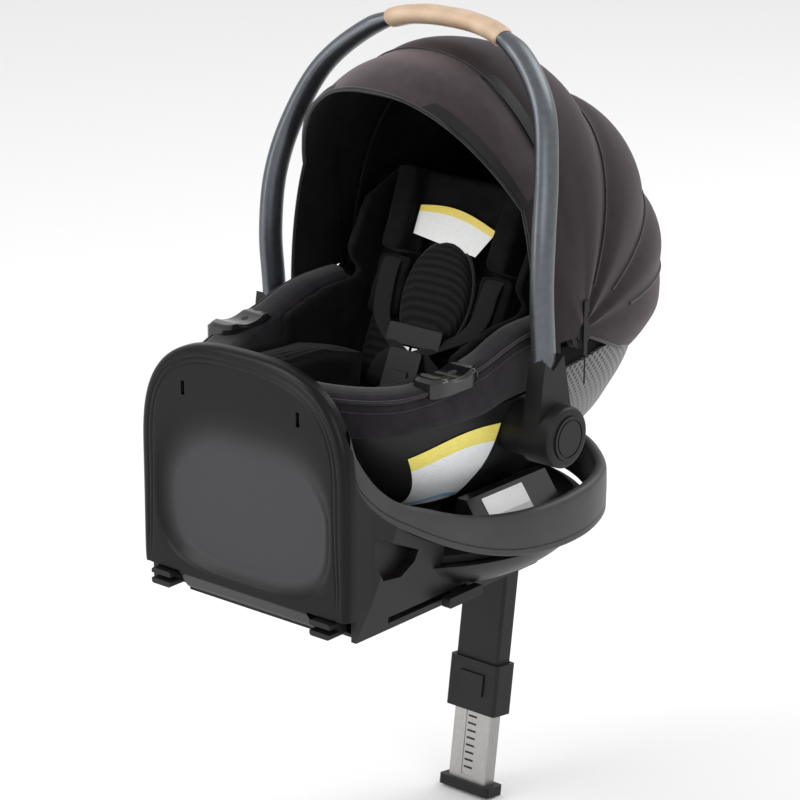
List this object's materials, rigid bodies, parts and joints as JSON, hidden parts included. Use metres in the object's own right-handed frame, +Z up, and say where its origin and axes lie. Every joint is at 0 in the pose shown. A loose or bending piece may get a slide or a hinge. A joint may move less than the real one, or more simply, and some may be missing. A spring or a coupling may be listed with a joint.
{
  "type": "infant car seat",
  "caption": "Rear-facing infant carrier with canopy, swing handle and harness, docked on a turning base with anti-rebound panel, lower anchors and load leg.",
  "frame": {"origin": "centre of the base's flat underside, on the turntable's axis", "axes": "+Z up, -Y towards the child's feet and the vehicle's seat back, +X towards the carrier's right side as seen from its feet, X = 0 the plane of symmetry"},
  "size_m": [0.456, 0.646, 0.9499],
  "materials": {
    "base_plastic": "satin-gloss black moulding",
    "rim_plastic": "satin charcoal moulding",
    "black_plastic": "fine-grained black moulding",
    "grey_plastic": "satin mid grey moulding",
    "gloss_black": "polished black",
    "steel": "zinc plated",
    "leg_metal": "satin anodised",
    "handle_metal": "gunmetal satin paint",
    "tan_leather": "grained tan leather with stitching",
    "canopy_fabric": "fine knit with a soft sheen",
    "seat_fabric": "black knit",
    "mesh_fabric": "ribbed black mesh",
    "webbing": "woven webbing",
    "foam": null,
    "bow_plastic": "sprung plastic strip"
  },
  "bodies": {
    "base": {"base_housing": "base_plastic", "rebound_panel": "base_plastic", "rim_band": "rim_plastic", "side_grips": "black_plastic", "bearing_ring": "steel", "panel_pins": "steel", "base_screws": "steel", "leg_hinge_pin": "steel"},
    "rotation_button": {"rotation_button": "black_plastic"},
    "lower_anchor_left": {"anchor_bar_left": "steel", "anchor_jaw_left": "black_plastic", "anchor_slider_left": "black_plastic"},
    "lower_anchor_right": {"anchor_bar_right": "steel", "anchor_jaw_right": "black_plastic", "anchor_slider_right": "black_plastic"},
    "load_leg": {"leg_upper_tube": "black_plastic", "leg_clamp_housing": "black_plastic"},
    "load_leg_lower": {"leg_lower_tube": "leg_metal", "leg_foot": "black_plastic"},
    "leg_button": {"leg_button": "black_plastic"},
    "turntable": {"turntable_plate": "black_plastic", "dock_towers": "gloss_black", "dock_bars": "steel"},
    "carrier": {"carrier_shell": "black_plastic", "rear_shell": "grey_plastic", "handle_mounts": "black_plastic", "handle_axles": "steel", "foam_liner": "foam", "seat_pad": "seat_fabric", "seat_cover": "seat_fabric", "belt_guides": "gloss_black", "infant_insert": "mesh_fabric", "body_insert": "seat_fabric", "side_bolsters": "mesh_fabric", "strap_pads": "seat_fabric", "harness_straps": "webbing", "chest_clip": "black_plastic", "buckle_housing": "black_plastic", "buckle_tongues": "steel", "adjuster_housing": "black_plastic", "canopy_rear": "canopy_fabric", "canopy_mounts": "black_plastic"},
    "release_lever": {"release_lever": "black_plastic"},
    "headrest": {"head_support": "seat_fabric"},
    "buckle_button": {"buckle_button": "black_plastic"},
    "adjuster_lever": {"adjuster_lever": "black_plastic"},
    "canopy_mid": {"canopy_mid": "canopy_fabric", "mid_bow": "bow_plastic"},
    "canopy_front": {"canopy_front": "canopy_fabric", "front_bow": "bow_plastic", "canopy_gusset": "canopy_fabric"},
    "canopy_visor": {"canopy_visor": "canopy_fabric", "visor_bow": "bow_plastic"},
    "zip_pull": {"zip_pull": "black_plastic"},
    "handle": {"handle_tube": "handle_metal", "handle_grip": "tan_leather", "hub_cover_left": "black_plastic", "hub_cover_right": "black_plastic"},
    "hub_button_left": {"hub_button_left": "black_plastic"},
    "hub_button_right": {"hub_button_right": "black_plastic"}
  },
  "joints": [
    {"name": "turntable_spin", "type": "hinge", "parent": "base", "child": "turntable", "pos_m": [0, 0, 0.05], "axis": [0, 0, 1], "range_deg": [-90, 90]},
    {"name": "carrier_lift", "type": "slide", "parent": "turntable", "child": "carrier", "axis": [0, 0, 1], "range_m": [0, 0.12]},
    {"name": "handle_turn", "type": "hinge", "parent": "carrier", "child": "handle", "pos_m": [0, 0, 0.177], "axis": [1, 0, 0], "range_deg": [-95, 60]},
    {"name": "hub_button_left_press", "type": "slide", "parent": "handle", "child": "hub_button_left", "axis": [1, 0, 0], "range_m": [0, 0.005], "stiffness_N_per_m": 800, "springref_m": -0.004},
    {"name": "hub_button_right_press", "type": "slide", "parent": "handle", "child": "hub_button_right", "axis": [-1, 0, 0], "range_m": [0, 0.005], "stiffness_N_per_m": 800, "springref_m": -0.004},
    {"name": "canopy_fold", "type": "hinge", "parent": "carrier", "child": "canopy_mid", "pos_m": [0, 0.09, 0.262], "axis": [1, 0, 0], "range_deg": [-34, 0]},
    {"name": "canopy_front_fold", "type": "hinge", "parent": "canopy_mid", "child": "canopy_front", "pos_m": [0, 0.09, 0.262], "axis": [1, 0, 0], "range_deg": [-36.5, 0], "deforming": ["canopy_gusset"]},
    {"name": "visor_fold", "type": "hinge", "parent": "canopy_front", "child": "canopy_visor", "pos_m": [0, 0.09, 0.262], "axis": [1, 0, 0], "range_deg": [-17.2, 0]},
    {"name": "zip_slide", "type": "slide", "parent": "canopy_front", "child": "zip_pull", "axis": [0, 0.0698, 0.9976], "range_m": [0, 0.05]},
    {"name": "headrest_slide", "type": "slide", "parent": "carrier", "child": "headrest", "axis": [0, 0.4067, 0.9135], "range_m": [0, 0.07]},
    {"name": "buckle_press", "type": "slide", "parent": "carrier", "child": "buckle_button", "axis": [0, 0.9135, -0.4067], "range_m": [0, 0.003], "stiffness_N_per_m": 800, "springref_m": -0.003},
    {"name": "adjuster_press", "type": "hinge", "parent": "carrier", "child": "adjuster_lever", "pos_m": [0, -0.17266, 0.21596], "axis": [1, 0, 0], "range_deg": [-12, 0], "stiffness_Nm_per_rad": 0.3, "springref_deg": 17.19},
    {"name": "release_squeeze", "type": "slide", "parent": "carrier", "child": "release_lever", "axis": [0, 0, 1], "range_m": [0, 0.01], "stiffness_N_per_m": 800, "springref_m": -0.006},
    {"name": "rotation_press", "type": "slide", "parent": "base", "child": "rotation_button", "axis": [0, -1, 0], "range_m": [0, 0.005], "stiffness_N_per_m": 800, "springref_m": -0.004},
    {"name": "anchor_slide_left", "type": "slide", "parent": "base", "child": "lower_anchor_left", "axis": [0, -1, 0], "range_m": [0, 0.09]},
    {"name": "anchor_slide_right", "type": "slide", "parent": "base", "child": "lower_anchor_right", "axis": [0, -1, 0], "range_m": [0, 0.09]},
    {"name": "leg_fold", "type": "hinge", "parent": "base", "child": "load_leg", "pos_m": [0, 0.168, 0.02], "axis": [1, 0, 0], "range_deg": [-82, 0]},
    {"name": "leg_slide", "type": "slide", "parent": "load_leg", "child": "load_leg_lower", "axis": [0, -0.1392, -0.9903], "range_m": [-0.08, 0.06]},
    {"name": "leg_button_press", "type": "slide", "parent": "load_leg", "child": "leg_button", "axis": [0, 0.9903, -0.1392], "range_m": [0, 0.003], "stiffness_N_per_m": 800, "springref_m": -0.003}
  ],
  "couplings": [
    {"joint": "canopy_front_fold", "follows": "canopy_fold", "ratio": 1.0588},
    {"joint": "visor_fold", "follows": "canopy_fold", "ratio": 0.5}
  ]
}
